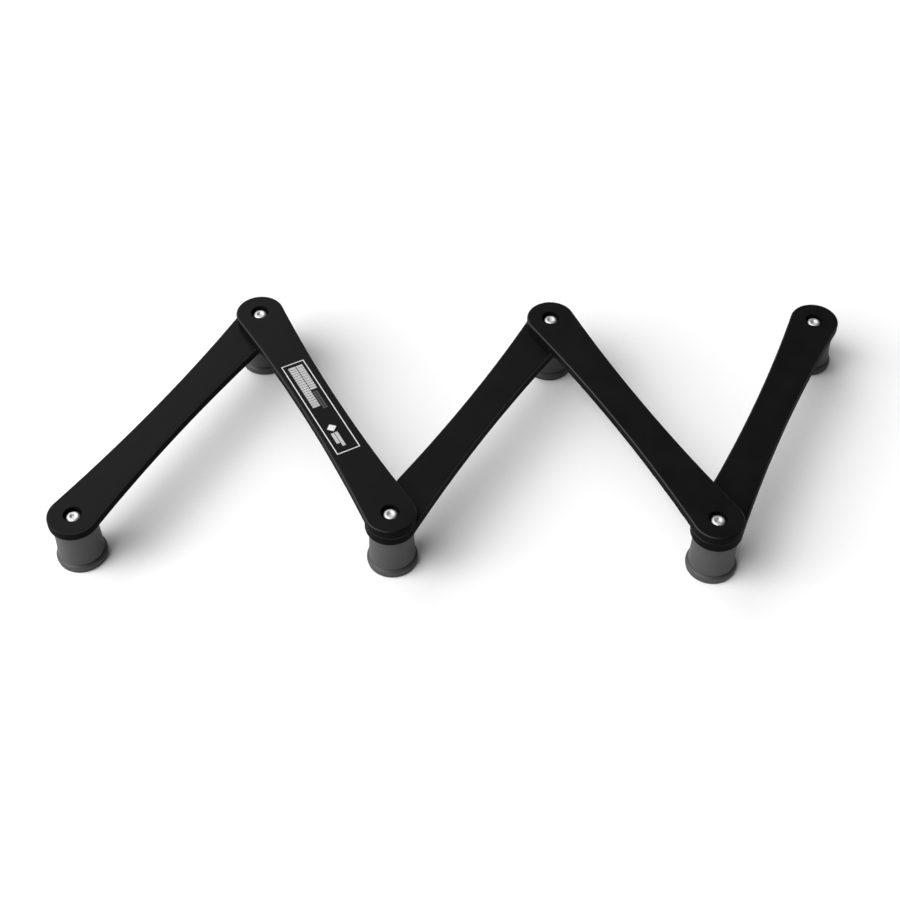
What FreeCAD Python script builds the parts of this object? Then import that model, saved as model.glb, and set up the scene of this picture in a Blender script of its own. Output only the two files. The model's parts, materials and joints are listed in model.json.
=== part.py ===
import FreeCAD, Part
import math
import os

import Sketcher

# Hinged zigzag wall rack for bicycles. Five equal dog-bone links are joined end to end by four
# pivots and lie in two layers: links 1, 3 and 5 below, links 2 and 4 on top. A waisted spool on
# a rubber foot pad holds every link end off the wall. At each of the six fixing points a steel
# post runs up through the spool and the links, and a low-head screw closes it from above.
# Millimetres. +Z points away from the wall, and the origin is on the wall plane under the middle
# of the rack. Fixing point 1 is the free end of link 1, and point 6 is the free end of link 5.

LINK_COUNT = 5
POINT_COUNT = LINK_COUNT + 1
UPPER_LINKS = (2, 4)
HIGHEST_POINT = 2
LOWEST_POINT = 5

# The driving dimensions: one spreadsheet cell each, as alias and number.
DIMENSIONS = {
    # link moulding
    "pitch": 250.0,
    "end_radius": 20.0,
    "waist_half": 15.0,
    "link_thick": 8.0,
    "edge_fillet": 1.2,
    "recess_radius": 7.0,
    "recess_depth": 4.4,
    "recess_chamfer": 0.5,
    "bore_radius": 4.05,
    # headings of the links in the stored zigzag, in degrees from +X
    "heading_1": 59.7,
    "heading_2": -62.2,
    "heading_3": 58.7,
    "heading_4": -61.9,
    "heading_5": 64.6,
    # levels above the wall
    "link_level": 40.0,
    "layer_gap": 0.4,
    # rubber foot pad, a ring
    "pad_thick": 2.4,
    "pad_radius": 19.5,
    "pad_hole_radius": 8.5,
    "pad_chamfer": 0.6,
    # spool; its heights are above its own base
    "foot_radius": 20.0,
    "foot_chamfer": 0.5,
    "bead_level": 1.6,
    "bead_radius": 3.6,
    "bead_end_radius": 18.4,
    "bead_end_level": 4.6,
    "groove_radius": 17.7,
    "groove_level": 5.2,
    "waist_foot_radius": 18.3,
    "waist_top_radius": 17.6,
    "waist_level": 6.0,
    "waist_dip": 0.5,
    "crown_chamfer": 0.5,
    "cavity_radius": 8.3,
    "cavity_depth": 0.9,
    # flanged post, with an M6 thread in both ends
    "post_radius": 4.0,
    "post_lift": 0.4,
    "post_rise": 0.6,
    "flange_radius": 8.0,
    "flange_thick": 2.6,
    "flange_flats": 13.0,
    "flange_chamfer": 0.3,
    "stud_core_radius": 2.5,
    "stud_depth": 14.0,
    "stud_chamfer": 0.5,
    "screw_hole_radius": 3.0,
    "screw_hole_depth": 14.0,
    # low-head M6 screw; heights above the head's underside
    "shank_radius": 2.95,
    "shank_length": 12.0,
    "shank_chamfer": 0.6,
    "head_radius": 5.25,
    "head_rim": 0.8,
    "head_height": 1.8,
    "crown_radius": 3.7,
    "crown_arc": 3.0,
    "socket_flats": 4.0,
    "socket_depth": 1.3,
    # acetal washers and bushes
    "head_washer_radius": 6.6,
    "head_washer_thick": 0.5,
    "washer_bore_radius": 4.1,
    "spool_washer_radius": 12.0,
    "spool_washer_thick": 0.3,
    "bush_radius": 6.9,
    "bush_chamfer": 0.4,
    "bush_rise": 0.3,
}

Z_AXIS = FreeCAD.Vector(0, 0, 1)

# Levels that more than one kind of piece needs, as expressions on the sheet.
SPOOL_TOP = "Dims.link_level - Dims.layer_gap - Dims.pad_thick"
UPPER_LEVEL = "Dims.link_level + Dims.link_thick + Dims.layer_gap"
FLOOR_THICK = "Dims.link_thick - Dims.recess_depth"


# ---- document, sheet and sketch helpers ----

def make_sheet(doc):
    """Write every driving dimension into its own cell, under its alias."""
    sheet = doc.addObject("Spreadsheet::Sheet", "Dims")
    for row, (alias, value) in enumerate(DIMENSIONS.items(), start=1):
        sheet.set(f"A{row}", str(value))
        sheet.setAlias(f"A{row}", alias)
    doc.recompute()


def number(owner, expression):
    """The present value of an expression, as a plain number."""
    value = owner.evalExpression(expression)
    return float(getattr(value, "Value", value))


def new_body(doc, name):
    """An empty body whose label is the node's name."""
    body = doc.addObject("PartDesign::Body", name)
    body.Label = name
    return body


def attach(feature, body, role, level=None):
    """Put a sketch or primitive on one of the body's origin planes, raised to a level."""
    plane = next(item for item in body.Origin.OriginFeatures if item.Role == role)
    feature.AttachmentSupport = [(plane, "")]
    feature.MapMode = "FlatFace"
    if level:
        feature.setExpression("AttachmentOffset.Base.z", level)


def new_sketch(body, name, role, level=None):
    """An empty sketch on one of the body's origin planes."""
    sketch = body.newObject("Sketcher::SketchObject", name)
    attach(sketch, body, role, level)
    return sketch


def bind(sketch, name, expression, *constraint):
    """Add a dimension to a sketch and tie it to the sheet."""
    index = sketch.addConstraint(Sketcher.Constraint(*constraint, number(sketch, expression)))
    sketch.renameConstraint(index, name)
    sketch.setExpression(f"Constraints.{name}", expression)


def pin_point(sketch, name, geometry, end, across, up):
    """Fix a point of a sketch at (across, up) from the sketch's origin."""
    if across == "0":
        sketch.addConstraint(Sketcher.Constraint("PointOnObject", geometry, end, -2))
    else:
        bind(sketch, f"{name}_across", across, "DistanceX", -1, 1, geometry, end)
    if up == "0":
        sketch.addConstraint(Sketcher.Constraint("PointOnObject", geometry, end, -1))
    else:
        bind(sketch, f"{name}_up", up, "DistanceY", -1, 1, geometry, end)


def minor_arc(start, finish, radius, centre_side):
    """The short arc between two points, its centre left (+1) or right (-1) of the chord."""
    chord = finish - start
    left = FreeCAD.Vector(-chord.y, chord.x, 0).normalize()
    rise = math.sqrt(radius ** 2 - chord.Length ** 2 / 4)
    centre = start + chord / 2 + left * (centre_side * rise)
    first, last = (start, finish) if centre_side > 0 else (finish, start)
    first_angle = math.atan2(first.y - centre.y, first.x - centre.x)
    last_angle = math.atan2(last.y - centre.y, last.x - centre.x)
    return Part.ArcOfCircle(Part.Circle(centre, Z_AXIS, radius), first_angle, last_angle)


def draw_profile(sketch, corners, arcs):
    """Draw the closed outline through corners of (across, up) expressions.

    arcs maps a corner's number to (radius, centre side) where the side that starts there is
    an arc; the other sides are straight.
    """
    points = [
        FreeCAD.Vector(number(sketch, across), number(sketch, up), 0) for across, up in corners
    ]
    ends = []
    for index, start in enumerate(points):
        finish = points[(index + 1) % len(points)]
        if index in arcs:
            radius, centre_side = arcs[index]
            sketch.addGeometry(minor_arc(start, finish, number(sketch, radius), centre_side))
            ends.append((1, 2) if centre_side > 0 else (2, 1))
        else:
            sketch.addGeometry(Part.LineSegment(start, finish))
            ends.append((1, 2))
    for index, (across, up) in enumerate(corners):
        before = index - 1 if index else len(corners) - 1
        start_end = ends[index][0]
        join = Sketcher.Constraint("Coincident", before, ends[before][1], index, start_end)
        sketch.addConstraint(join)
        pin_point(sketch, f"corner_{index}", index, start_end, across, up)
    for index, (radius, _) in arcs.items():
        bind(sketch, f"arc_{index}", radius, "Radius", index)


def draw_circles(sketch, radius, places):
    """Draw equal circles centred on the sketch's X axis."""
    for index, across in enumerate(places):
        centre = FreeCAD.Vector(number(sketch, across), 0, 0)
        sketch.addGeometry(Part.Circle(centre, Z_AXIS, number(sketch, radius)))
        pin_point(sketch, f"centre_{index}", index, 3, across, "0")
        bind(sketch, f"radius_{index}", radius, "Radius", index)


# ---- feature helpers ----

def turned(doc, name, corners, arcs=None):
    """A body turned about its own Z axis from a profile of (radius, height) corners."""
    body = new_body(doc, name)
    sketch = new_sketch(body, "profile", "XZ_Plane")
    draw_profile(sketch, corners, arcs or {})
    solid = body.newObject("PartDesign::Revolution", "turned")
    solid.Profile = sketch
    solid.ReferenceAxis = (sketch, ["V_Axis"])
    solid.Angle = 360.0
    doc.recompute()
    return body


def ring(doc, name, inner, outer, height):
    """A plain washer standing on its own base plane."""
    corners = [(inner, "0"), (outer, "0"), (outer, height), (inner, height)]
    return turned(doc, name, corners)


def cut_pocket(doc, body, sketch, depth):
    """Cut a sketch down into the body by a depth, and make sure that it removed material."""
    before = body.Shape.Volume
    pocket = body.newObject("PartDesign::Pocket", "pocket")
    pocket.Profile = sketch
    pocket.setExpression("Length", depth)
    doc.recompute()
    if not body.Shape.Volume < before - 1.0:
        raise RuntimeError(f"{body.Label}: a pocket removed nothing")
    return pocket


def edges_at(shape, level, radius=None):
    """Names of the edges that lie at one level, or only the circles of one radius there."""
    names = []
    for index, edge in enumerate(shape.Edges, start=1):
        box = edge.BoundBox
        flat = abs(box.ZMin - level) < 1e-4 and abs(box.ZMax - level) < 1e-4
        fits = radius is None or (
            isinstance(edge.Curve, Part.Circle) and abs(edge.Curve.Radius - radius) < 1e-4
        )
        if flat and fits:
            names.append(f"Edge{index}")
    return names


# ---- positions ----

def steps(function, last):
    """How far fixing point number last lies from point 1, as an expression; cos for X."""
    terms = [f"{function}(Dims.heading_{link})" for link in range(1, last)]
    return f"Dims.pitch * ({' + '.join(terms) or '0'})"


def place(piece, point, level, heading=None):
    """Stand a piece on a fixing point's axis, at a level, turned to a heading."""
    middle_x = f"{steps('cos', POINT_COUNT)} / 2"
    middle_y = f"({steps('sin', HIGHEST_POINT)} + {steps('sin', LOWEST_POINT)}) / 2"
    piece.Placement = FreeCAD.Placement(FreeCAD.Vector(), FreeCAD.Rotation(Z_AXIS, 0))
    piece.setExpression("Placement.Base.x", f"{steps('cos', point)} - {middle_x}")
    piece.setExpression("Placement.Base.y", f"{steps('sin', point)} - {middle_y}")
    piece.setExpression("Placement.Base.z", level)
    if heading:
        piece.setExpression("Placement.Rotation.Angle", heading)


def recess_level(point):
    """Level of the floor of the screw's recess at a fixing point, as an expression."""
    single = point in (1, POINT_COUNT)
    base = "Dims.link_level" if single else UPPER_LEVEL
    return f"{base} + {FLOOR_THICK}"


# ---- the pieces ----

def draw_link_outline(sketch):
    """Two round ends joined by long hollow sides, every joint tangent."""
    side = "(Dims.pitch^2 / 4 + Dims.waist_half^2 - Dims.end_radius^2)"
    side_radius = f"{side} / (2 * (Dims.end_radius - Dims.waist_half))"
    pitch = number(sketch, "Dims.pitch")
    end_radius = number(sketch, "Dims.end_radius")
    hollow = number(sketch, side_radius)
    drop = hollow + number(sketch, "Dims.waist_half")
    turn = math.atan2(drop, pitch / 2)
    near = FreeCAD.Vector(0, 0, 0)
    far = FreeCAD.Vector(pitch, 0, 0)
    below = FreeCAD.Vector(pitch / 2, -drop, 0)
    above = FreeCAD.Vector(pitch / 2, drop, 0)
    full = 2 * math.pi
    half = math.pi
    for centre, radius, first, last in (
        (near, end_radius, turn, full - turn),
        (below, hollow, turn, half - turn),
        (far, end_radius, turn - half, half - turn),
        (above, hollow, half + turn, full - turn),
    ):
        sketch.addGeometry(Part.ArcOfCircle(Part.Circle(centre, Z_AXIS, radius), first, last))
    for first, first_end, second, second_end in (
        (0, 2, 1, 2), (1, 1, 2, 1), (2, 2, 3, 2), (3, 1, 0, 1),
    ):
        join = Sketcher.Constraint("Tangent", first, first_end, second, second_end)
        sketch.addConstraint(join)
    sketch.addConstraint(Sketcher.Constraint("Coincident", 0, 3, -1, 1))
    sketch.addConstraint(Sketcher.Constraint("PointOnObject", 2, 3, -1))
    sketch.addConstraint(Sketcher.Constraint("Equal", 0, 2))
    sketch.addConstraint(Sketcher.Constraint("Equal", 1, 3))
    bind(sketch, "pitch", "Dims.pitch", "DistanceX", 0, 3, 2, 3)
    bind(sketch, "end_radius", "Dims.end_radius", "Radius", 0)
    bind(sketch, "side_radius", side_radius, "Radius", 1)


def make_link(doc, link):
    """One dog-bone link: a rounded plate with a bored recess at both ends."""
    body = new_body(doc, f"link_{link}")
    outline = new_sketch(body, "outline", "XY_Plane")
    draw_link_outline(outline)
    plate = body.newObject("PartDesign::Pad", "plate")
    plate.Profile = outline
    plate.setExpression("Length", "Dims.link_thick")
    doc.recompute()

    thick = number(plate, "Dims.link_thick")
    rounding = body.newObject("PartDesign::Fillet", "rounding")
    rounding.Base = (plate, edges_at(plate.Shape, 0) + edges_at(plate.Shape, thick))
    rounding.setExpression("Radius", "Dims.edge_fillet")
    doc.recompute()

    ends = ["0", "Dims.pitch"]
    recesses = new_sketch(body, "recesses", "XY_Plane", "Dims.link_thick")
    draw_circles(recesses, "Dims.recess_radius", ends)
    cut_pocket(doc, body, recesses, "Dims.recess_depth")
    bores = new_sketch(body, "bores", "XY_Plane", "Dims.link_thick")
    draw_circles(bores, "Dims.bore_radius", ends)
    bored = cut_pocket(doc, body, bores, "Dims.link_thick")

    rims = body.newObject("PartDesign::Chamfer", "rims")
    recess_radius = number(bored, "Dims.recess_radius")
    rims.Base = (bored, edges_at(bored.Shape, thick, recess_radius))
    rims.setExpression("Size", "Dims.recess_chamfer")
    doc.recompute()

    level = UPPER_LEVEL if link in UPPER_LINKS else "Dims.link_level"
    place(body, link, level, f"Dims.heading_{link}")
    return body


def make_foot_pad(doc, point):
    """The rubber ring that the spool stands on."""
    body = turned(doc, f"foot_pad_{point}", [
        ("Dims.pad_hole_radius", "0"),
        ("Dims.pad_radius - Dims.pad_chamfer", "0"),
        ("Dims.pad_radius", "Dims.pad_chamfer"),
        ("Dims.pad_radius", "Dims.pad_thick"),
        ("Dims.pad_hole_radius", "Dims.pad_thick"),
    ])
    place(body, point, "0")
    return body


def make_spool(doc, point):
    """The stand-off: a round-shouldered foot, a groove, a hollow tapering waist, a bore."""
    waist_span = f"({SPOOL_TOP} - Dims.crown_chamfer - Dims.waist_level)"
    waist_taper = "(Dims.waist_foot_radius - Dims.waist_top_radius)"
    waist_chord = f"({waist_span}^2 + {waist_taper}^2)"
    waist_arc = f"({waist_chord} / 4 + Dims.waist_dip^2) / (2 * Dims.waist_dip)"
    corners = [
        ("Dims.cavity_radius", "0"),
        ("Dims.foot_radius - Dims.foot_chamfer", "0"),
        ("Dims.foot_radius", "Dims.foot_chamfer"),
        ("Dims.foot_radius", "Dims.bead_level"),
        ("Dims.bead_end_radius", "Dims.bead_end_level"),
        ("Dims.groove_radius", "Dims.groove_level"),
        ("Dims.waist_foot_radius", "Dims.waist_level"),
        ("Dims.waist_top_radius", f"{SPOOL_TOP} - Dims.crown_chamfer"),
        ("Dims.waist_top_radius - Dims.crown_chamfer", SPOOL_TOP),
        ("Dims.bore_radius", SPOOL_TOP),
        ("Dims.bore_radius", "Dims.cavity_depth"),
        ("Dims.cavity_radius", "Dims.cavity_depth"),
    ]
    bead_side = 1
    waist_side = -1
    arcs = {3: ("Dims.bead_radius", bead_side), 6: (waist_arc, waist_side)}
    body = turned(doc, f"spool_{point}", corners, arcs)
    place(body, point, "Dims.pad_thick")
    return body


def make_post(doc, point):
    """The pivot post: a flange at the wall, a barrel, and a blind threaded hole in each end."""
    length = f"({recess_level(point)} + Dims.post_rise - Dims.post_lift)"
    body = turned(doc, f"post_{point}", [
        ("Dims.stud_core_radius + Dims.stud_chamfer", "0"),
        ("Dims.flange_radius - Dims.flange_chamfer", "0"),
        ("Dims.flange_radius", "Dims.flange_chamfer"),
        ("Dims.flange_radius", "Dims.flange_thick"),
        ("Dims.post_radius", "Dims.flange_thick"),
        ("Dims.post_radius", length),
        ("Dims.screw_hole_radius", length),
        ("Dims.screw_hole_radius", f"{length} - Dims.screw_hole_depth"),
        ("0", f"{length} - Dims.screw_hole_depth"),
        ("0", "Dims.stud_depth"),
        ("Dims.stud_core_radius", "Dims.stud_depth"),
        ("Dims.stud_core_radius", "Dims.stud_chamfer"),
    ])
    before = body.Shape.Volume
    for side in (-1, 1):
        flat = body.newObject("PartDesign::SubtractiveBox", "spanner_flat")
        attach(flat, body, "XY_Plane")
        flat.setExpression("Length", "Dims.flange_radius")
        flat.setExpression("Width", "2 * Dims.flange_radius")
        flat.setExpression("Height", "Dims.flange_thick")
        start = "Dims.flange_flats / 2"
        edge = start if side > 0 else f"-({start}) - Dims.flange_radius"
        flat.setExpression("AttachmentOffset.Base.x", edge)
        flat.setExpression("AttachmentOffset.Base.y", "-Dims.flange_radius")
        doc.recompute()
    if not body.Shape.Volume < before - 1.0:
        raise RuntimeError(f"{body.Label}: the spanner flats removed nothing")
    place(body, point, "Dims.post_lift")
    return body


def make_screw(doc, point):
    """The M6 screw: a low domed head with a hexagon socket, and a plain-drawn shank."""
    corners = [
        ("0", "-Dims.shank_length"),
        ("Dims.shank_radius - Dims.shank_chamfer", "-Dims.shank_length"),
        ("Dims.shank_radius", "-Dims.shank_length + Dims.shank_chamfer"),
        ("Dims.shank_radius", "0"),
        ("Dims.head_radius", "0"),
        ("Dims.head_radius", "Dims.head_rim"),
        ("Dims.crown_radius", "Dims.head_height"),
        ("0", "Dims.head_height"),
    ]
    body = turned(doc, f"screw_{point}", corners, {5: ("Dims.crown_arc", 1)})
    before = body.Shape.Volume
    socket = body.newObject("PartDesign::SubtractivePrism", "socket")
    attach(socket, body, "XY_Plane", "Dims.head_height - Dims.socket_depth")
    socket.Polygon = 6
    socket.setExpression("Circumradius", "Dims.socket_flats / sqrt(3)")
    socket.setExpression("Height", "Dims.socket_depth")
    doc.recompute()
    if not body.Shape.Volume < before - 1.0:
        raise RuntimeError(f"{body.Label}: the socket removed nothing")
    place(body, point, f"{recess_level(point)} + Dims.post_rise")
    return body


def make_head_washer(doc, point):
    """The washer between the screw's head and the floor of the recess."""
    body = ring(
        doc, f"head_washer_{point}", "Dims.washer_bore_radius", "Dims.head_washer_radius",
        "Dims.head_washer_thick",
    )
    under_head = "Dims.post_rise - Dims.head_washer_thick"
    place(body, point, f"{recess_level(point)} + {under_head}")
    return body


def make_spool_washer(doc, point):
    """The washer that keeps the spool clear of the lower link."""
    body = ring(
        doc, f"spool_washer_{point}", "Dims.washer_bore_radius", "Dims.spool_washer_radius",
        "Dims.spool_washer_thick",
    )
    place(body, point, "Dims.link_level - Dims.spool_washer_thick")
    return body


def make_pivot_bush(doc, point):
    """The bush that fills the lower link's recess and carries the upper link."""
    height = "(Dims.recess_depth + Dims.bush_rise)"
    body = turned(doc, f"pivot_bush_{point}", [
        ("Dims.bore_radius", "0"),
        ("Dims.bush_radius - Dims.bush_chamfer", "0"),
        ("Dims.bush_radius", "Dims.bush_chamfer"),
        ("Dims.bush_radius", height),
        ("Dims.bore_radius", height),
    ])
    place(body, point, f"Dims.link_level + {FLOOR_THICK}")
    return body


def make_pieces(doc):
    """Every separate piece of the rack."""
    pieces = [make_link(doc, link) for link in range(1, LINK_COUNT + 1)]
    for point in range(1, POINT_COUNT + 1):
        pieces.append(make_foot_pad(doc, point))
        pieces.append(make_spool(doc, point))
        pieces.append(make_post(doc, point))
        pieces.append(make_screw(doc, point))
        pieces.append(make_head_washer(doc, point))
        pieces.append(make_spool_washer(doc, point))
        if 1 < point < POINT_COUNT:
            pieces.append(make_pivot_bush(doc, point))
    doc.recompute()
    return pieces


# ---- checks and export ----

def check(doc, pieces):
    """Stop if any object failed or any piece isn't one valid solid."""
    for item in doc.Objects:
        if {"Invalid", "Error"} & set(item.State):
            raise RuntimeError(f"{item.Label} failed: {item.State}")
        if item.isDerivedFrom("Sketcher::SketchObject") and item.solve() != 0:
            raise RuntimeError(f"{item.Label} does not solve")
    for piece in pieces:
        shape = piece.Shape
        if shape.isNull() or not shape.isValid() or len(shape.Solids) != 1:
            raise RuntimeError(f"{piece.Label} is not one valid solid")


def main():
    doc = FreeCAD.newDocument("BicycleWallRack")
    make_sheet(doc)
    pieces = make_pieces(doc)
    check(doc, pieces)
    os.makedirs("parts", exist_ok=True)
    whole = FreeCAD.BoundBox()
    for piece in pieces:
        piece.Shape.exportStep(f"parts/{piece.Label}.step")
        whole.add(piece.Shape.optimalBoundingBox(False, False))
    print(f"{len(pieces)} pieces")
    print(f"{whole.XLength:.2f} x {whole.YLength:.2f} x {whole.ZLength:.2f} mm")


main()
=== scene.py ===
import json
import math

import bmesh
import bpy
from mathutils import Matrix, Vector


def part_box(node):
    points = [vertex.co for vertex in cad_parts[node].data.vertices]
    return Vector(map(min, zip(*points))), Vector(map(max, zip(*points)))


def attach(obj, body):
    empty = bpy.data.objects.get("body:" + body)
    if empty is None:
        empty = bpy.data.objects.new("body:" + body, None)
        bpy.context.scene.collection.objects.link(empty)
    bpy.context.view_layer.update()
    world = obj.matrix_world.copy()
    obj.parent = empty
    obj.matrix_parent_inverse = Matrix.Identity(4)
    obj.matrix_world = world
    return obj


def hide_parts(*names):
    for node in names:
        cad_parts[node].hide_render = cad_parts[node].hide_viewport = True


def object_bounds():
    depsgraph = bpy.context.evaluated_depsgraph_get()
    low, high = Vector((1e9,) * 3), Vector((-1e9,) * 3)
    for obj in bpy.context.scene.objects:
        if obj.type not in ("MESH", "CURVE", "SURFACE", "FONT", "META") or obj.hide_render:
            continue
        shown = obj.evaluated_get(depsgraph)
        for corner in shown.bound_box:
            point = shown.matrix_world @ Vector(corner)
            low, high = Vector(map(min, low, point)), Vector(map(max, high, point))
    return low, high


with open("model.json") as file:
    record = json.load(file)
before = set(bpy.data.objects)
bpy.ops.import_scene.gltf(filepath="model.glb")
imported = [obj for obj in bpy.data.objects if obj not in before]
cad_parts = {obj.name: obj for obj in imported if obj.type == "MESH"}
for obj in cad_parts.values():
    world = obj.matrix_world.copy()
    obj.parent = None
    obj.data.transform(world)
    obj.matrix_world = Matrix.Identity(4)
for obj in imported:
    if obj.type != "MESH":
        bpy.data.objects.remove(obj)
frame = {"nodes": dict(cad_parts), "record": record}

# A hinged zigzag wall rack: five dog-bone links in two layers, on six spools. The turned and
# moulded pieces are rebuilt here at a finer grain round the places that the frame gives.
# Metres, +Z out of the wall. The rack lies with its foot pads on a pale floor.

cad_low, cad_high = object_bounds()

MM = 0.001
LINK_COUNT = 5
POINT_COUNT = LINK_COUNT + 1
LABELLED_LINK = 2

# Link moulding
END_RADIUS = 20.0 * MM
WAIST_HALF = 15.0 * MM
EDGE_ROUNDING = 1.2 * MM
RECESS_RADIUS = 7.0 * MM
RECESS_DEPTH = 4.4 * MM
RECESS_ROUNDING = 0.5 * MM
BORE_RADIUS = 4.05 * MM
BORE_CHAMFER = 0.25 * MM
STATION = 26.0 * MM  # how far from its axis the mesh of a link's round end meets the grid
INK = 0.03 * MM

# Spool and foot pad
FOOT_RADIUS = 20.0 * MM
WAIST_FOOT_RADIUS = 18.3 * MM
WAIST_TOP_RADIUS = 17.6 * MM
WAIST_DIP = 0.5 * MM
GROOVE_LEVEL = 5.2 * MM
# How far above and below the groove the painted shade reaches
GROOVE_SHADE_REACH = 0.9 * MM
SEAM_RIDGE = 0.07 * MM
SEAM_HALF_ANGLE = 0.012
PAD_RADIUS = 19.5 * MM
PAD_HOLE_RADIUS = 8.5 * MM

# Post and screw, both M6
POST_RADIUS = 4.0 * MM
FLANGE_RADIUS = 8.0 * MM
FLANGE_THICK = 2.6 * MM
FLANGE_FLATS = 13.0 * MM
THREAD_PITCH = 1.0 * MM
THREAD_CORE = 2.5 * MM
THREAD_MAJOR = 3.0 * MM
HOLE_DEPTH = 14.0 * MM
HEAD_RADIUS = 5.25 * MM
HEAD_RIM = 0.8 * MM
HEAD_HEIGHT = 1.8 * MM
CROWN_RADIUS = 3.7 * MM
CROWN_ARC = 3.0 * MM
SOCKET_FLATS = 4.0 * MM
SOCKET_DEPTH = 1.3 * MM
SHANK_LENGTH = 12.0 * MM

SHARP_ANGLE = math.radians(40)


# ---- places, read from the frame ----

def axis_of(point):
    """Where a fixing point's axis meets the wall plane."""
    low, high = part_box(f"screw_{point}")
    return Vector(((low.x + high.x) / 2, (low.y + high.y) / 2, 0))


def level_of(node):
    """The height of a node's lowest point."""
    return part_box(node)[0].z


def height_of(node):
    """A node's size along Z."""
    low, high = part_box(node)
    return high.z - low.z


def body_of(node):
    """The body that carries a node."""
    bodies = frame["record"]["behaviour"]["bodies"]
    return next(body for body, nodes in bodies.items() if node in nodes)


AXES = {point: axis_of(point) for point in range(1, POINT_COUNT + 1)}
PITCH = (AXES[2] - AXES[1]).length

# The printed ink comes up to the CAD model's top, so the moulding stops that much below it
LINK_THICK = height_of("link_1") - INK


def upright_place(point, node):
    """A turned piece's own frame: on its fixing point's axis, from its lowest level up."""
    return Matrix.Translation(AXES[point] + Vector((0, 0, level_of(node))))


def half_turned(points):
    """A link's (point, outward normal) pairs after half a turn about its middle."""
    return [(Vector((PITCH - p.x, -p.y)), Vector((-n.x, -n.y))) for p, n in points]


# ---- mesh helpers ----

def build_mesh(name, vertices, faces, place, material):
    """An object whose own axes are the shared frame's: the place's turn is in its vertices.

    The vertices' places before the turn stay in the "local" attribute, for the textures.
    """
    turn = place.to_3x3()
    mesh = bpy.data.meshes.new(name)
    mesh.from_pydata([turn @ Vector(vertex) for vertex in vertices], [], faces)
    rebuilt = bmesh.new()
    rebuilt.from_mesh(mesh)
    bmesh.ops.recalc_face_normals(rebuilt, faces=rebuilt.faces)
    rebuilt.to_mesh(mesh)
    rebuilt.free()
    layer = mesh.attributes.new("local", "FLOAT_VECTOR", "POINT")
    layer.data.foreach_set("vector", [value for vertex in vertices for value in vertex])
    mesh.materials.append(material)
    piece = bpy.data.objects.new(name, mesh)
    piece.location = place.translation
    bpy.context.scene.collection.objects.link(piece)
    return piece


def make_object(name, vertices, faces, place, node, material, painted_light_values=None):
    """A smooth-shaded piece that stands for a CAD node and rides on its body.

    The per-vertex values say, from 0 to 1, how much painted light each vertex carries: a painted
    highlight on the links' rims, painted shade in the spools' groove.
    """
    piece = build_mesh(name, vertices, faces, place, material)
    mesh = piece.data
    mesh.shade_smooth()
    mesh.set_sharp_from_angle(angle=SHARP_ANGLE)
    if painted_light_values:
        layer = mesh.attributes.new("painted_light", "FLOAT", "POINT")
        layer.data.foreach_set("value", painted_light_values)
    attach(piece, body_of(node))
    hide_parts(node)
    return piece


def arc_points(start, finish, radius, centre_side, count):
    """Points on the short arc from start to finish, its centre left (+1) or right (-1)."""
    start = Vector(start)
    finish = Vector(finish)
    chord = finish - start
    left = Vector((-chord.y, chord.x)).normalized()
    rise = math.sqrt(radius ** 2 - chord.length ** 2 / 4)
    centre = start + chord / 2 + left * (centre_side * rise)
    first = start - centre
    sweep = 2 * math.asin(chord.length / 2 / radius) * centre_side
    points = []
    for step in range(count + 1):
        turn = sweep * step / count
        cos_turn, sin_turn = math.cos(turn), math.sin(turn)
        spoke = (
            first.x * cos_turn - first.y * sin_turn,
            first.x * sin_turn + first.y * cos_turn,
        )
        points.append((centre.x + spoke[0], centre.y + spoke[1]))
    return points


def rounded(corners, closed, steps=4, support=0.15 * MM):
    """Turn (radius, height, rounding) corners into points, with an arc at each rounded corner.

    A point just off each end of an arc keeps the flats beside it flat in the shading.
    """
    points = []
    last = len(corners) - 1
    for index, (x, y, rounding) in enumerate(corners):
        here = Vector((x, y))
        if not rounding or (not closed and index in (0, last)):
            points.append(tuple(here))
            continue
        before = Vector(corners[index - 1][:2]) - here
        after = Vector(corners[(index + 1) % len(corners)][:2]) - here
        half = before.angle(after) / 2
        reach = rounding / math.tan(half)
        enter = here + before.normalized() * reach
        leave = here + after.normalized() * reach
        side = 1 if before.x * after.y - before.y * after.x < 0 else -1
        if before.length > reach + 3 * support:
            points.append(tuple(enter + before.normalized() * support))
        points += arc_points(enter, leave, rounding, side, steps)
        if after.length > reach + 3 * support:
            points.append(tuple(leave + after.normalized() * support))
    return points


def even_angles(count, extra=()):
    """Angles round a full turn, with more where a shape needs them."""
    turn = 2 * math.pi
    angles = [turn * step / count for step in range(count)]
    angles = [a for a in angles if all(abs(a - e % turn) > 1e-4 for e in extra)]
    return sorted(angles + [e % turn for e in extra])


def lathe(rows, angles, closed):
    """Vertices and faces of a turned solid.

    rows are (radius, height), where radius may be a function of the angle. A closed profile
    makes a ring; an open one starts and ends on the axis.
    """
    vertices = []
    loops = []
    for radius, height in rows:
        if not callable(radius) and radius == 0:
            loops.append([len(vertices)] * len(angles))
            vertices.append((0, 0, height))
            continue
        loops.append(list(range(len(vertices), len(vertices) + len(angles))))
        for angle in angles:
            reach = radius(angle) if callable(radius) else radius
            vertices.append((reach * math.cos(angle), reach * math.sin(angle), height))
    pairs = list(zip(loops, loops[1:]))
    if closed:
        pairs.append((loops[-1], loops[0]))
    faces = []
    for low, high in pairs:
        for step in range(len(angles)):
            following = (step + 1) % len(angles)
            ring = (low[step], low[following], high[following], high[step])
            corners = list(dict.fromkeys(ring))
            if len(corners) > 2:
                faces.append(corners)
    return vertices, faces


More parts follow.
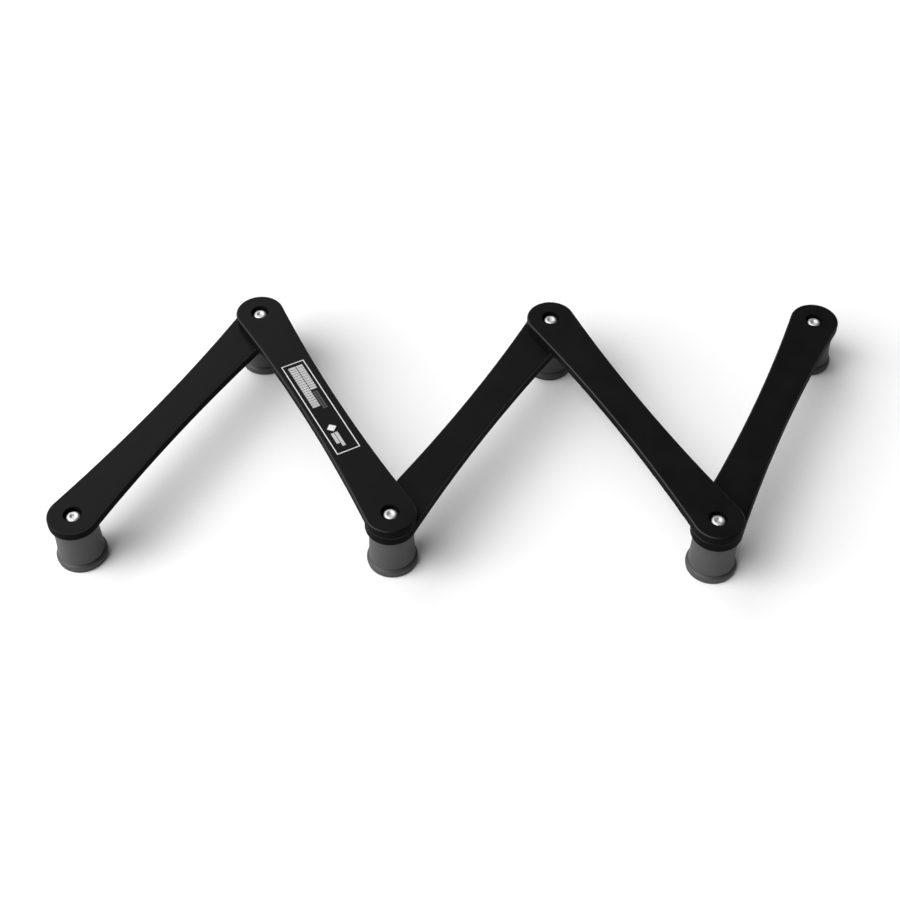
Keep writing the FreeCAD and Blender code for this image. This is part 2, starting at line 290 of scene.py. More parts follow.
def thread_rows(low, high, core, crest):
    """Rows of a thread between two heights; it fades out at both ends.

    Each pitch has a flat root, a rising flank, a flat crest and a falling flank.
    """
    rows = []
    per_pitch = 8
    steepness = 1.5
    root_cut = 0.25
    count = round((high - low) / THREAD_PITCH * per_pitch)
    for step in range(count + 1):
        height = low + (high - low) * step / count
        fade = min(1.0, min(height - low, high - height) / THREAD_PITCH)

        def radius(angle, height=height, fade=fade):
            wave = (height / THREAD_PITCH - angle / (2 * math.pi)) % 1.0
            triangle = 1 - abs(2 * wave - 1)
            flank = min(1.0, max(0.0, triangle * steepness - root_cut))
            return core + (crest - core) * (flank * fade)

        rows.append((radius, height))
    return rows


# ---- shader helpers ----

def new_material(name):
    """A material with an empty tree but for its shader and output."""
    material = bpy.data.materials.new(name)
    material.use_nodes = True
    tree = material.node_tree
    shader = tree.nodes["Principled BSDF"]
    return material, tree, shader


def add_node(tree, kind, **settings):
    """A node with its properties and, by underscored name, its input values set."""
    node = tree.nodes.new(kind)
    for key, value in settings.items():
        if hasattr(node, key):
            setattr(node, key, value)
        else:
            node.inputs[key.replace("_", " ")].default_value = value
    return node


def local_coordinates(tree, stretch=(1, 1, 1)):
    """A piece's own coordinates, shifted a different way on each, so that no two look alike."""
    place = add_node(tree, "ShaderNodeAttribute", attribute_name="local")
    info = add_node(tree, "ShaderNodeObjectInfo")
    most_shift = (3.1, 1.7, 0.6)
    shift = add_node(tree, "ShaderNodeVectorMath", operation="SCALE")
    shift.inputs[0].default_value = most_shift
    tree.links.new(info.outputs["Random"], shift.inputs["Scale"])
    add = add_node(tree, "ShaderNodeVectorMath", operation="ADD")
    tree.links.new(place.outputs["Vector"], add.inputs[0])
    tree.links.new(shift.outputs[0], add.inputs[1])
    scale = add_node(tree, "ShaderNodeVectorMath", operation="MULTIPLY")
    scale.inputs[1].default_value = stretch
    tree.links.new(add.outputs[0], scale.inputs[0])
    return scale.outputs[0]


def noise(tree, vector, scale, detail=2.0, roughness=0.5):
    """Noise values for a vector; scale is in waves per metre."""
    node = add_node(tree, "ShaderNodeTexNoise", Scale=scale, Detail=detail, Roughness=roughness)
    tree.links.new(vector, node.inputs["Vector"])
    return node.outputs["Fac"]


def spread(tree, value, low, high, from_low=0.3, from_high=0.7):
    """Map a value onto a range; noise mostly lies between 0.3 and 0.7."""
    node = add_node(tree, "ShaderNodeMapRange")
    node.inputs["From Min"].default_value = from_low
    node.inputs["From Max"].default_value = from_high
    node.inputs["To Min"].default_value = low
    node.inputs["To Max"].default_value = high
    tree.links.new(value, node.inputs["Value"])
    return node.outputs["Result"]


def blend_colours(tree, factor, first, second):
    """A colour between two colours or colour outputs."""
    node = add_node(tree, "ShaderNodeMix", data_type="RGBA")
    tree.links.new(factor, node.inputs["Factor"])
    for name, colour in (("A", first), ("B", second)):
        socket = next(i for i in node.inputs if i.name == name and i.type == "RGBA")
        if isinstance(colour, tuple):
            socket.default_value = (*colour, 1)
        else:
            tree.links.new(colour, socket)
    return next(o for o in node.outputs if o.type == "RGBA")


def calculate(tree, operation, first, second):
    """A Math node on two values or outputs."""
    node = add_node(tree, "ShaderNodeMath", operation=operation)
    for socket, value in zip(node.inputs, (first, second)):
        if isinstance(value, (int, float)):
            socket.default_value = value
        else:
            tree.links.new(value, socket)
    return node.outputs[0]


def bump(tree, shader, heights):
    """Bump the shader with (value output, height) layers, finest last."""
    normal = None
    for value, height in heights:
        node = add_node(tree, "ShaderNodeBump", Strength=1.0, Distance=height)
        tree.links.new(value, node.inputs["Height"])
        if normal:
            tree.links.new(normal, node.inputs["Normal"])
        normal = node.outputs["Normal"]
    tree.links.new(normal, shader.inputs["Normal"])


def attribute(tree, name):
    """A mesh attribute's value."""
    node = add_node(tree, "ShaderNodeAttribute", attribute_name=name)
    return node.outputs["Fac"]


# ---- materials ----

def moulded_plastic(name, shine, roughness):
    """Black satin moulded nylon: fine spark-eroded grain, faint flow mottling.

    Where a vertex carries painted light, the colour is lighter as a painted highlight on the rims,
    and the surface smoother.
    """
    material, tree, shader = new_material(name)
    vector = local_coordinates(tree)
    along = local_coordinates(tree, stretch=(1, 14, 14))
    mottling = noise(tree, vector, 38.0, detail=4.0)
    grain = noise(tree, vector, 2600.0, detail=2.0, roughness=0.6)
    streaks = noise(tree, along, 55.0, detail=5.0, roughness=0.65)
    rim_highlight = attribute(tree, "painted_light")
    dark, light = (0.0030, 0.0030, 0.0032), (0.0044, 0.0044, 0.0046)
    plain = blend_colours(tree, spread(tree, mottling, 0, 1), dark, light)
    # Painted highlight: the rims' colour is many times lighter than the faces'.
    colour = blend_colours(tree, rim_highlight, plain, (0.030, 0.030, 0.0305))
    tree.links.new(colour, shader.inputs["Base Color"])
    mottled = spread(tree, mottling, roughness, roughness + 0.07)
    rough = calculate(tree, "ADD", mottled, spread(tree, streaks, -0.03, 0.03))
    rough = calculate(tree, "SUBTRACT", rough, calculate(tree, "MULTIPLY", rim_highlight, 0.20))
    tree.links.new(rough, shader.inputs["Roughness"])
    shader.inputs["Specular IOR Level"].default_value = shine
    bump(tree, shader, [(mottling, 0.04 * MM), (grain, 0.008 * MM)])
    return material


def spool_rubber():
    """Dark grey moulded rubber, matte, with a faint bloom and a soft grain; near black along the
    groove, as painted shade.
    """
    material, tree, shader = new_material("spool_rubber")
    vector = local_coordinates(tree)
    bloom = noise(tree, vector, 70.0, detail=5.0, roughness=0.6)
    grain = noise(tree, vector, 1900.0, detail=2.0)
    specks = noise(tree, vector, 900.0, detail=3.0)
    dark, light = (0.025, 0.025, 0.026), (0.033, 0.033, 0.034)
    colour = blend_colours(tree, spread(tree, bloom, 0, 1), dark, light)
    colour = blend_colours(tree, spread(tree, specks, 0, 0.35, 0.62, 0.75), colour, (0.070,) * 3)
    # Painted shade: near black along the groove.
    colour = blend_colours(tree, attribute(tree, "painted_light"), colour, (0.004,) * 3)
    tree.links.new(colour, shader.inputs["Base Color"])
    tree.links.new(spread(tree, bloom, 0.50, 0.60), shader.inputs["Roughness"])
    shader.inputs["Specular IOR Level"].default_value = 0.42
    bump(tree, shader, [(bloom, 0.03 * MM), (grain, 0.01 * MM)])
    return material


def pad_rubber():
    """Black soft rubber, rough."""
    material, tree, shader = new_material("pad_rubber")
    vector = local_coordinates(tree)
    wear = noise(tree, vector, 140.0, detail=5.0, roughness=0.65)
    grain = noise(tree, vector, 1500.0, detail=3.0)
    dark, light = (0.014, 0.014, 0.015), (0.032, 0.032, 0.033)
    colour = blend_colours(tree, spread(tree, wear, 0, 1), dark, light)
    tree.links.new(colour, shader.inputs["Base Color"])
    tree.links.new(spread(tree, wear, 0.70, 0.85), shader.inputs["Roughness"])
    bump(tree, shader, [(wear, 0.04 * MM), (grain, 0.02 * MM)])
    return material


def turned_steel(name, dark, light, rough_low, rough_high):
    """Plated steel with fine turned rings and a little cloudiness."""
    material, tree, shader = new_material(name)
    vector = local_coordinates(tree)
    place = add_node(tree, "ShaderNodeAttribute", attribute_name="local")
    parts = add_node(tree, "ShaderNodeSeparateXYZ")
    tree.links.new(place.outputs["Vector"], parts.inputs[0])
    flat = add_node(tree, "ShaderNodeCombineXYZ")
    tree.links.new(parts.outputs["X"], flat.inputs["X"])
    tree.links.new(parts.outputs["Y"], flat.inputs["Y"])
    reach = add_node(tree, "ShaderNodeVectorMath", operation="LENGTH")
    tree.links.new(flat.outputs[0], reach.inputs[0])
    ring_place = add_node(tree, "ShaderNodeCombineXYZ")
    tree.links.new(reach.outputs["Value"], ring_place.inputs["X"])
    tree.links.new(parts.outputs["Z"], ring_place.inputs["Y"])
    rings = noise(tree, ring_place.outputs[0], 5200.0, detail=3.0, roughness=0.7)
    clouds = noise(tree, vector, 420.0, detail=4.0)
    colour = blend_colours(tree, spread(tree, clouds, 0, 1), dark, light)
    tree.links.new(colour, shader.inputs["Base Color"])
    shader.inputs["Metallic"].default_value = 1.0
    clouded = spread(tree, clouds, rough_low, rough_high)
    rough = calculate(tree, "ADD", clouded, spread(tree, rings, -0.05, 0.05))
    tree.links.new(rough, shader.inputs["Roughness"])
    bump(tree, shader, [(clouds, 0.01 * MM), (rings, 0.006 * MM)])
    return material


def acetal():
    """Black turned acetal: smooth, slightly waxy, with faint tool marks."""
    material, tree, shader = new_material("acetal")
    place = add_node(tree, "ShaderNodeTexCoord")
    tooling = noise(tree, place.outputs["Object"], 800.0, detail=3.0)
    dark, light = (0.006, 0.006, 0.0063), (0.010, 0.010, 0.0104)
    colour = blend_colours(tree, spread(tree, tooling, 0, 1), dark, light)
    tree.links.new(colour, shader.inputs["Base Color"])
    tree.links.new(spread(tree, tooling, 0.32, 0.42), shader.inputs["Roughness"])
    shader.inputs["Specular IOR Level"].default_value = 0.10
    bump(tree, shader, [(tooling, 0.01 * MM)])
    return material


def label_ink(name, thin, full):
    """Screen-printed ink: slightly uneven cover over black plastic."""
    material, tree, shader = new_material(name)
    vector = local_coordinates(tree)
    cover = noise(tree, vector, 1300.0, detail=4.0, roughness=0.7)
    colour = blend_colours(tree, spread(tree, cover, 0, 1, 0.35, 0.6), thin, full)
    tree.links.new(colour, shader.inputs["Base Color"])
    tree.links.new(spread(tree, cover, 0.40, 0.55), shader.inputs["Roughness"])
    bump(tree, shader, [(cover, 0.01 * MM)])
    return material


def floor_paper():
    """Seamless white backdrop paper."""
    material, tree, shader = new_material("floor_paper")
    place = add_node(tree, "ShaderNodeTexCoord")
    tooth = noise(tree, place.outputs["Object"], 500.0, detail=3.0)
    colour = blend_colours(tree, spread(tree, tooth, 0, 1), (0.86,) * 3, (0.88,) * 3)
    tree.links.new(colour, shader.inputs["Base Color"])
    tree.links.new(spread(tree, tooth, 0.85, 0.95), shader.inputs["Roughness"])
    return material


# ---- link ----

def outline_half():
    """Half of a link's outline in its own frame, as (point, outward normal) pairs.

    Returns the near round end, anticlockwise from the upper side's station to the lower side's,
    and the upper side from the near station to the far one.
    """
    hollow = (PITCH ** 2 / 4 + WAIST_HALF ** 2 - END_RADIUS ** 2) / (2 * (END_RADIUS - WAIST_HALF))
    centre = Vector((PITCH / 2, hollow + WAIST_HALF))
    tangent = math.atan2(centre.y, centre.x)

    def on_side(x):
        drop = math.sqrt(hollow ** 2 - (x - centre.x) ** 2)
        point = Vector((x, centre.y - drop))
        return point, (centre - point).normalized()

    end = []
    side_steps = 10
    first_x = END_RADIUS * math.cos(tangent)
    for step in range(side_steps):
        end.append(on_side(STATION + (first_x - STATION) * step / side_steps))
    end_steps = 72
    for step in range(end_steps + 1):
        angle = tangent + (2 * math.pi - 2 * tangent) * step / end_steps
        spoke = Vector((math.cos(angle), math.sin(angle)))
        end.append((spoke * END_RADIUS, spoke))
    for point, normal in reversed(end[:side_steps]):
        end.append((Vector((point.x, -point.y)), Vector((normal.x, -normal.y))))
    columns = 72
    side = []
    for column in range(columns + 1):
        side.append(on_side(STATION + (PITCH - 2 * STATION) * column / columns))
    return end, side


class LinkMesh:
    """Builds one link as quads: round ends in rings about the bores, a grid between them.

    The per-vertex values hold each vertex's painted highlight, and dull the numbers of the faces
    with the duller finish.
    """

    ROWS = 16
    EDGE_STEPS = 7
    FLAT_SHARES = (0.0, 0.06, 0.3, 0.55, 0.8, 0.97, 1.0)

    def __init__(self):
        self.vertices = []
        self.faces = []
        self.painted_light_values = []
        self.dull = []
        self.end, self.side = outline_half()
        self.found = {}

    def point(self, x, y, z, painted_light=0.0):
        """The number of a vertex, made on first use."""
        key = (round(x * 1e7), round(y * 1e7), round(z * 1e7))
        if key not in self.found:
            self.found[key] = len(self.vertices)
            self.vertices.append((x, y, z))
            self.painted_light_values.append(painted_light)
        return self.found[key]

    def quads(self, first, second, closed=True):
        """Join two equally long runs of vertex numbers."""
        count = len(first) if closed else len(first) - 1
        for step in range(count):
            following = (step + 1) % len(first)
            self.faces.append((first[step], first[following], second[following], second[step]))

    def outline(self, inset):
        """The whole outline, anticlockwise, moved inwards, with its outward normals."""
        upper = self.side[1:-1]
        lower = half_turned(upper)
        whole = self.end + lower[::-1] + half_turned(self.end) + upper[::-1]
        return [(point - normal * inset, normal) for point, normal in whole]

    def station(self, inset, far):
        """The end region's boundary: the round end, then the station line back to its start."""
        run = half_turned(self.end) if far else self.end
        ring = [point - normal * inset for point, normal in run]
        start, finish = ring[-1], ring[0]
        for row in range(1, self.ROWS):
            ring.append(start.lerp(finish, row / self.ROWS))
        return ring

    def hole_ring(self, boundary, centre, radius, z, share=0.0):
        """Vertices opposite the end region's boundary: on a circle, or a share of the way out."""
        ring = []
        for point in boundary:
            on_circle = centre + (point - centre).normalized() * radius
            place = on_circle.lerp(point, share)
            ring.append(self.point(place.x, place.y, z))
        return ring

    def flat(self, z, inset, hole_radius):
        """One flat face with its two holes; returns each hole's boundary, centre and ring."""
        holes = []
        for far in (False, True):
            centre = Vector((PITCH if far else 0.0, 0.0))
            boundary = self.station(inset, far)
            rings = []
            for share in self.FLAT_SHARES:
                rings.append(self.hole_ring(boundary, centre, hole_radius, z, share))
            for first, second in zip(rings, rings[1:]):
                self.quads(first, second)
            holes.append((boundary, centre, rings[0]))
        columns = []
        lower = half_turned(self.side)[::-1]
        for (top, top_normal), (bottom, bottom_normal) in zip(self.side, lower):
            high = top - top_normal * inset
            low = bottom - bottom_normal * inset
            column = []
            for row in range(self.ROWS + 1):
                place = low.lerp(high, row / self.ROWS)
                column.append(self.point(place.x, place.y, z))
            columns.append(column)
        for first, second in zip(columns, columns[1:]):
            self.quads(first, second, closed=False)
        return holes

    def edge(self):
        """The side wall with a rounded edge above and below; along the link's long sides each
        rounding carries a painted highlight.
        """
        levels = []
        for step in range(self.EDGE_STEPS + 1):
            angle = math.pi / 2 * step / self.EDGE_STEPS
            inset = EDGE_ROUNDING * (1 - math.sin(angle))
            rise = EDGE_ROUNDING * (1 - math.cos(angle))
            levels.append((inset, rise, math.sin(2 * angle)))
        wall = [(0.0, LINK_THICK / 3, 0.0), (0.0, LINK_THICK * 2 / 3, 0.0)]
        upper = [(inset, LINK_THICK - rise, painted_light) for inset, rise, painted_light in reversed(levels)]
        rings = []
        for inset, z, painted_light in levels + wall + upper:
            ring = []
            for point, normal in self.outline(inset):
                # Painted highlight: strongest halfway round each rounding and on the long sides,
                # none on the flat wall.
                ring.append(self.point(point.x, point.y, z, painted_light * normal.y ** 2))
            rings.append(ring)
        steep = self.EDGE_STEPS // 2 + 1
        for number, (first, second) in enumerate(zip(rings, rings[1:])):
            start = len(self.faces)
            self.quads(first, second)
            if steep <= number < len(rings) - 1 - steep:
                self.dull += range(start, len(self.faces))

    def recess(self, boundary, centre, top_ring, bottom_ring):
        """The recess with a rounded rim, its floor, and the bore down to the underside."""
        rim = RECESS_ROUNDING
        fine = BORE_CHAMFER
        floor = LINK_THICK + INK - RECESS_DEPTH
        lip = ((RECESS_RADIUS + rim, LINK_THICK), (RECESS_RADIUS, LINK_THICK - rim))
        corner = ((RECESS_RADIUS, floor + fine), (RECESS_RADIUS - fine, floor))
        profile = arc_points(*lip, rim, 1, 4)[1:]
        profile += [(RECESS_RADIUS, LINK_THICK - 2 * rim), (RECESS_RADIUS, floor + 2 * fine)]
        profile += arc_points(*corner, fine, -1, 3)
        profile += [(BORE_RADIUS + fine, floor), (BORE_RADIUS, floor - fine)]
        profile += [(BORE_RADIUS, fine)]
        previous = top_ring
        for radius, z in profile:
            ring = self.hole_ring(boundary, centre, radius, z)
            self.quads(previous, ring)
            previous = ring
        self.quads(previous, bottom_ring)

    def build(self):
        """The whole closed mesh; the recesses join its top and bottom faces."""
        self.edge()
        top = self.flat(LINK_THICK, EDGE_ROUNDING, RECESS_RADIUS + RECESS_ROUNDING)
        bottom = self.flat(0.0, EDGE_ROUNDING, BORE_RADIUS + BORE_CHAMFER)
        start = len(self.faces)
        for (boundary, centre, top_ring), (_, _, bottom_ring) in zip(top, bottom):
            self.recess(boundary, centre, top_ring, bottom_ring)
        self.dull += range(start, len(self.faces))
        return self


def link_place(link):
    """A link's own frame: X along it from its first axis, Z up from its underside."""
    start = AXES[link]
    along = AXES[link + 1] - start
    turn = math.atan2(along.y, along.x)
    lift = Vector((0, 0, level_of(f"link_{link}")))
    return Matrix.Translation(start + lift) @ Matrix.Rotation(turn, 4, "Z")


def make_links(face_material, dull_material):
    """Five links from one mould."""
    mould = LinkMesh().build()
    for link in range(1, LINK_COUNT + 1):
        node = f"link_{link}"
        piece = make_object(
            f"{node}_moulding", mould.vertices, mould.faces, link_place(link), node,
            face_material, mould.painted_light_values,
        )
        piece.data.materials.append(dull_material)
        for number in mould.dull:
            piece.data.polygons[number].material_index = 1


# ---- spool, foot pad, post, screw ----

def seamed(radius):
    """A radius with a mould's parting line standing up to it on two opposite sides."""

    def reach(angle):
        off = abs((angle + math.pi / 2) % math.pi - math.pi / 2)
        return radius - SEAM_RIDGE + SEAM_RIDGE * max(0.0, 1 - off / SEAM_HALF_ANGLE)

    return reach


def spool_profile(height):
    """The spool's outer and inner outlines as (radius, height) points, from its underside round."""
    cavity = 8.3 * MM
    cavity_top = 0.9 * MM
    crown = 0.5 * MM
    bead_start = (FOOT_RADIUS, 1.6 * MM)
    bead_end = (18.4 * MM, 4.6 * MM)
    bead_arc = 3.6 * MM
    groove = (17.7 * MM, GROOVE_LEVEL)
    groove_low_arc = 1.2 * MM
    groove_high_arc = 1.0 * MM
    waist_start = (WAIST_FOOT_RADIUS, 6.0 * MM)
    waist_end = (WAIST_TOP_RADIUS, height - crown)
    chord = (Vector(waist_end) - Vector(waist_start)).length
    waist_arc = (chord ** 2 / 4 + WAIST_DIP ** 2) / (2 * WAIST_DIP)
    foot = [(cavity, 0, 0), (FOOT_RADIUS - 0.5 * MM, 0, 0), (FOOT_RADIUS, 0.5 * MM, 0.3 * MM)]
    outer = rounded([*foot, (*bead_start, 0)], closed=False)
    outer += arc_points(bead_start, bead_end, bead_arc, 1, 12)[1:]
    outer += arc_points(bead_end, groove, groove_low_arc, -1, 4)[1:]
    outer += arc_points(groove, waist_start, groove_high_arc, -1, 4)[1:]
    outer += arc_points(waist_start, waist_end, waist_arc, -1, 24)[1:]
    outer += [(WAIST_TOP_RADIUS - crown, height)]
    inner = [(BORE_RADIUS + crown, height), (BORE_RADIUS, height - crown)]
    inner += [(BORE_RADIUS, cavity_top), (cavity, cavity_top)]
    return outer, inner


def make_spool(point, material):
    """The rubber stand-off, with the parting line of its two-part mould."""
    node = f"spool_{point}"
    outer, inner = spool_profile(height_of(node))
    rows = [(seamed(radius), z) for radius, z in outer] + inner
    offsets = (-SEAM_HALF_ANGLE, 0, SEAM_HALF_ANGLE)
    seam_angles = [side + off for side in (0, math.pi) for off in offsets]
    vertices, faces = lathe(rows, even_angles(112, seam_angles), closed=True)
    # Painted shade: each vertex's weight falls from 1 at the groove to 0 at this reach.
    groove_shade = [max(0.0, 1 - abs(vertex[2] - GROOVE_LEVEL) / GROOVE_SHADE_REACH) for vertex in vertices]
    seam_turn = math.radians(11 * point - 20)
    place = upright_place(point, node) @ Matrix.Rotation(seam_turn, 4, "Z")
    make_object(f"{node}_moulding", vertices, faces, place, node, material, groove_shade)


def make_pad(point, material):
    """The foot pad: a rubber ring with grip grooves underneath."""
    node = f"foot_pad_{point}"
    thick = height_of(node)
    grooves = (10.8 * MM, 13.4 * MM, 16.0 * MM)
    groove_depth = 0.5 * MM
    groove_half = 0.5 * MM
    chamfer = 0.6 * MM
    sharp, soft, round_lip = 0.12 * MM, 0.2 * MM, 0.3 * MM
    corners = [(PAD_HOLE_RADIUS, thick, sharp), (PAD_HOLE_RADIUS, 0, round_lip)]
    for middle in grooves:
        near, far = middle - groove_half, middle + groove_half
        corners += [(near, 0, sharp), (near, groove_depth, sharp)]
        corners += [(far, groove_depth, sharp), (far, 0, sharp)]
    corners += [(PAD_RADIUS - chamfer, 0, soft), (PAD_RADIUS, chamfer, soft)]
    corners += [(PAD_RADIUS, thick, sharp)]
    rows = rounded(corners, closed=True, steps=3, support=0.1 * MM)
    vertices, faces = lathe(rows, even_angles(96), closed=True)
    place = upright_place(point, node)
    make_object(f"{node}_ring", vertices, faces, place, node, material)


def flange_reach(angle):
    """The flange's outline: round, with two spanner flats."""
    return min(FLANGE_RADIUS, FLANGE_FLATS / 2 / max(1e-6, abs(math.cos(angle))))


def make_post(point, material):
    """The flanged post with its two M6 holes: a thread in the lower one, a plain bore at the
    thread's major size in the upper one.
    """
    node = f"post_{point}"
    length = height_of(node)
    broken = 0.3 * MM
    mouth = 0.5 * MM
    lead_in = 0.1 * MM
    fillet = 0.4 * MM
    drill_point = 0.2 * MM

    def chamfered(angle):
        return flange_reach(angle) - broken

    rows = [(0, HOLE_DEPTH), (THREAD_CORE - mouth, HOLE_DEPTH - drill_point)]
    rows += thread_rows(mouth, HOLE_DEPTH - mouth, THREAD_CORE, THREAD_MAJOR)[::-1]
    rows += [(THREAD_MAJOR + lead_in, 0), (chamfered, 0), (flange_reach, broken)]
    rows += [(flange_reach, FLANGE_THICK - broken), (chamfered, FLANGE_THICK)]
    rows += [(POST_RADIUS + fillet, FLANGE_THICK), (POST_RADIUS, FLANGE_THICK + fillet)]
    rows += [(POST_RADIUS, length - broken), (POST_RADIUS - broken, length)]
    rows += [(THREAD_MAJOR + lead_in, length), (THREAD_MAJOR, length - lead_in)]
    rows += [(THREAD_MAJOR, length - HOLE_DEPTH), (0, length - HOLE_DEPTH)]
    corner = math.acos(FLANGE_FLATS / 2 / FLANGE_RADIUS)
    corners = [corner, math.pi - corner, math.pi + corner, -corner]
    vertices, faces = lathe(rows, even_angles(64, corners), closed=False)
    place = upright_place(point, node)
    make_object(f"{node}_turning", vertices, faces, place, node, material)


def socket_reach(angle):
    """The hexagon socket's outline."""
    off = angle % (math.pi / 3) - math.pi / 6
    return SOCKET_FLATS / 2 / math.cos(off)


def make_screw(point, material):
    """The low-head M6 screw: domed head, hexagon socket, threaded shank."""
    node = f"screw_{point}"
    play = 0.05 * MM
    core = THREAD_CORE - play
    point_bevel = 0.1 * MM
    run_out = 0.6 * MM
    bevel = 0.12 * MM
    crown_edge = CROWN_RADIUS - 0.2 * MM
    socket_corner = SOCKET_FLATS / math.sqrt(3)
    lead_in_mouth = socket_corner + 0.35 * MM
    lead_in_edge = socket_corner + 0.2 * MM
    lead_in_drop = 0.05 * MM
    lead_in_depth = 0.28 * MM
    drill_point = 0.25 * MM
    rows = [(0, -SHANK_LENGTH), (core - point_bevel, -SHANK_LENGTH)]
    rows += thread_rows(run_out - SHANK_LENGTH, -run_out, core, THREAD_MAJOR - play)
    rows += [(core, 0), (HEAD_RADIUS - bevel, 0), (HEAD_RADIUS, bevel)]
    rows += arc_points((HEAD_RADIUS, HEAD_RIM), (CROWN_RADIUS, HEAD_HEIGHT), CROWN_ARC, 1, 10)
    rows += [(crown_edge, HEAD_HEIGHT), (lead_in_mouth, HEAD_HEIGHT)]
    rows += [(lead_in_edge, HEAD_HEIGHT - lead_in_drop)]
    rows += [(socket_reach, HEAD_HEIGHT - lead_in_depth)]
    rows += [(socket_reach, HEAD_HEIGHT - SOCKET_DEPTH)]
    rows += [(0, HEAD_HEIGHT - SOCKET_DEPTH - drill_point)]
    vertices, faces = lathe(rows, even_angles(72), closed=False)
    head_base = level_of(node) + SHANK_LENGTH
    socket_turn = math.radians(13 + 71 * point)
    origin = AXES[point] + Vector((0, 0, head_base))
    place = Matrix.Translation(origin) @ Matrix.Rotation(socket_turn, 4, "Z")
    make_object(f"{node}_turning", vertices, faces, place, node, material)


# ---- the printed label ----

def make_print(name, outlines, material):
    """Flat ink shapes on the labelled link's top; each is a closed loop of (along, across)."""
    node = f"link_{LABELLED_LINK}"
    vertices = []
    faces = []
    for outline in outlines:
        start = len(vertices)
        count = len(outline)
        for z in (LINK_THICK, LINK_THICK + INK):
            vertices += [(x * MM, y * MM, z) for x, y in outline]
        faces.append([start + index for index in range(count)])
        faces.append([start + count + index for index in range(count)])
        for index in range(count):
            following = (index + 1) % count
            faces.append((
                start + index, start + following, start + count + following, start + count + index,
            ))
    piece = build_mesh(name, vertices, faces, link_place(LABELLED_LINK), material)
    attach(piece, body_of(node))


def bar(low_x, high_x, low_y, high_y):
    """A plain rectangle."""
    return [(low_x, low_y), (high_x, low_y), (high_x, high_y), (low_x, high_y)]


def bar_row(start, count, pitch, width, low_y, high_y):
    """A row of upright bars."""
    places = [start + pitch * step for step in range(count)]
    return [bar(x, x + width, low_y, high_y) for x in places]


def make_label(bright, soft, faint):
    """A thin frame with rows of plain bars and a diamond: no lettering and no logo.

    Millimetres along the link from its first axis, and across it from its middle line.
    """
    left, right, bottom, top = 69.6, 178.6, -10.9, 9.0
    line = 0.8
    frame_bars = [
        bar(left, right, bottom, bottom + line),
        bar(left, right, top - line, top),
        bar(left, left + line, bottom + line, top - line),
        bar(right - line, right, bottom + line, top - line),
    ]
    make_print("label_frame", frame_bars, bright)
    short_row = bar_row(start=74.0, count=11, pitch=2.8, width=2.3, low_y=0.2, high_y=5.8)
    long_row = bar_row(start=74.0, count=18, pitch=2.8, width=2.3, low_y=-6.8, high_y=-0.4)
    make_print("label_bars", short_row + long_row, soft)
    fine_low = bar_row(start=107.0, count=8, pitch=2.7, width=2.1, low_y=0.6, high_y=2.1)
    fine_high = bar_row(start=107.0, count=8, pitch=2.7, width=2.1, low_y=2.8, high_y=4.3)
    make_print("label_fine_bars", fine_low + fine_high, faint)
    middle_x, middle_y, reach = 150.3, -2.7, 4.1
    diamond = [
        (middle_x - reach, middle_y), (middle_x, middle_y - reach),
        (middle_x + reach, middle_y), (middle_x, middle_y + reach),
    ]
    make_print("label_diamond", [diamond], bright)
    tail = [bar(156.0, 172.0, -3.0, -0.3), bar(156.0, 168.0, -6.2, -3.5)]
    make_print("label_tail", tail, soft)


# ---- studio ----

def make_floor():
    """A pale floor just under the foot pads, wide enough to fill low views too."""
    half = 30.0
    gap = 0.05 * MM
    level = cad_low.z - gap
    signs = ((-1, -1), (1, -1), (1, 1), (-1, 1))
    mesh = bpy.data.meshes.new("floor")
    mesh.from_pydata([(half * x, half * y, level) for x, y in signs], [], [(0, 1, 2, 3)])
    mesh.materials.append(floor_paper())
    floor = bpy.data.objects.new("floor", mesh)
    bpy.context.scene.collection.objects.link(floor)


def make_light(name, azimuth, elevation, spread_degrees, strength):
    """A soft light from far off, as wide in the sky as its spread; all angles in degrees."""
    light = bpy.data.lights.new(name, "SUN")
    light.angle = math.radians(spread_degrees)
    light.energy = strength
    lamp = bpy.data.objects.new(name, light)
    bpy.context.scene.collection.objects.link(lamp)
    across, up = math.radians(azimuth), math.radians(elevation)
    level_part = math.cos(up)
    towards = Vector((math.cos(across) * level_part, math.sin(across) * level_part, math.sin(up)))
    distance = 3.0
    lamp.location = towards * distance
    lamp.rotation_euler = towards.to_track_quat("Z", "Y").to_euler()


def make_near_light(name, place, radius, power):
    """A small round light beside the rack that faces it; it lights but isn't seen."""
    light = bpy.data.lights.new(name, "AREA")
    light.shape = "DISK"
    light.size = 2 * radius
    light.energy = power
    lamp = bpy.data.objects.new(name, light)
    bpy.context.scene.collection.objects.link(lamp)
    lamp.location = place
    lamp.rotation_euler = Vector(place).to_track_quat("Z", "Y").to_euler()
    lamp.visible_camera = False


def make_world(strength):
    """An even, colourless surround that lights weakly but looks as white as the lit floor."""
    world = bpy.data.worlds.new("studio")
    world.use_nodes = True
    tree = world.node_tree
    background = tree.nodes["Background"]
    background.inputs["Color"].default_value = (1, 1, 1, 1)
    ray = add_node(tree, "ShaderNodeLightPath")
    brightness = spread(tree, ray.outputs["Is Camera Ray"], strength, 1.0, 0.0, 1.0)
    tree.links.new(brightness, background.inputs["Strength"])
    bpy.context.scene.world = world


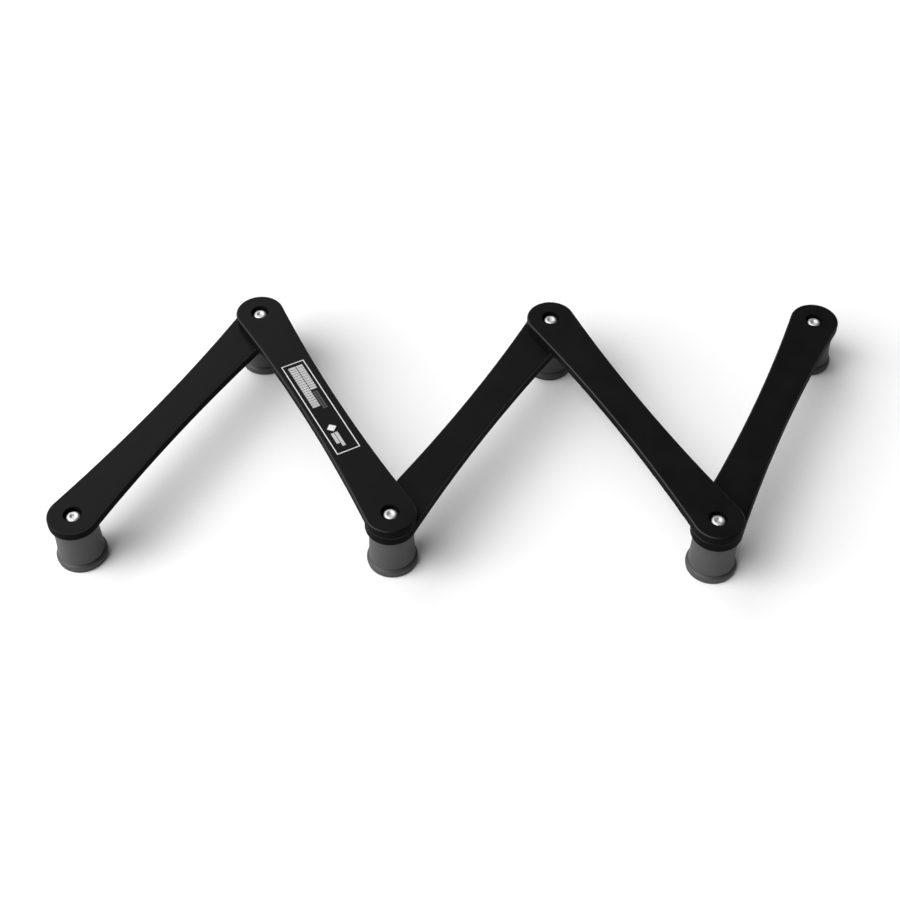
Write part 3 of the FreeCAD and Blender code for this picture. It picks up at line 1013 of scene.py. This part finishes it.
def make_camera():
    """A short telephoto view down onto the rack from its lower side."""
    pitch = math.radians(47.607)
    roll = math.radians(-0.113)
    distance = 1.3468
    aim = Vector((-0.00418, 0.01549, 0))
    camera = bpy.data.cameras.new("camera")
    camera.sensor_width = 36.0
    camera.lens = 64.66
    camera.shift_x = -0.00974
    camera.shift_y = -0.00863
    holder = bpy.data.objects.new("camera", camera)
    bpy.context.scene.collection.objects.link(holder)
    place = aim + Vector((0, -math.cos(pitch), math.sin(pitch))) * distance
    turn = Matrix.Rotation(math.pi / 2 - pitch, 4, "X") @ Matrix.Rotation(roll, 4, "Z")
    holder.matrix_world = Matrix.Translation(place) @ turn
    bpy.context.scene.camera = holder


def make_studio():
    """Floor, lights, surround and camera."""
    make_floor()
    make_light("key", azimuth=206, elevation=37, spread_degrees=74, strength=4.8)
    make_light("fill", azimuth=122, elevation=38, spread_degrees=44, strength=0.95)
    make_near_light("side", place=(-0.85, -0.3, 0.42), radius=0.22, power=1.4)
    make_world(strength=0.12)
    make_camera()
    settings = bpy.context.scene.view_settings
    settings.view_transform = "Standard"
    settings.look = "None"


# ---- the whole ----

def paint_carried_nodes(material):
    """The washers and bushes keep their CAD shape and get the acetal finish."""
    for name, node in frame["nodes"].items():
        if name.startswith(("head_washer", "spool_washer", "pivot_bush")):
            node.data.materials.clear()
            node.data.materials.append(material)


def make_rack():
    """Every piece of the rack."""
    face = moulded_plastic("link_face", shine=0.09, roughness=0.40)
    side = moulded_plastic("link_side", shine=0.012, roughness=0.46)
    make_links(face, side)
    rubber = spool_rubber()
    pads = pad_rubber()
    posts = turned_steel("post_steel", (0.46, 0.47, 0.49), (0.58, 0.59, 0.60), 0.28, 0.38)
    screws = turned_steel("screw_steel", (0.68, 0.68, 0.69), (0.78, 0.78, 0.78), 0.50, 0.60)
    for point in range(1, POINT_COUNT + 1):
        make_spool(point, rubber)
        make_pad(point, pads)
        make_post(point, posts)
        make_screw(point, screws)
    paint_carried_nodes(acetal())
    make_label(
        label_ink("label_white", (0.50,) * 3, (0.72,) * 3),
        label_ink("label_grey", (0.28,) * 3, (0.52,) * 3),
        label_ink("label_faint", (0.03,) * 3, (0.07,) * 3),
    )


make_rack()
make_studio()
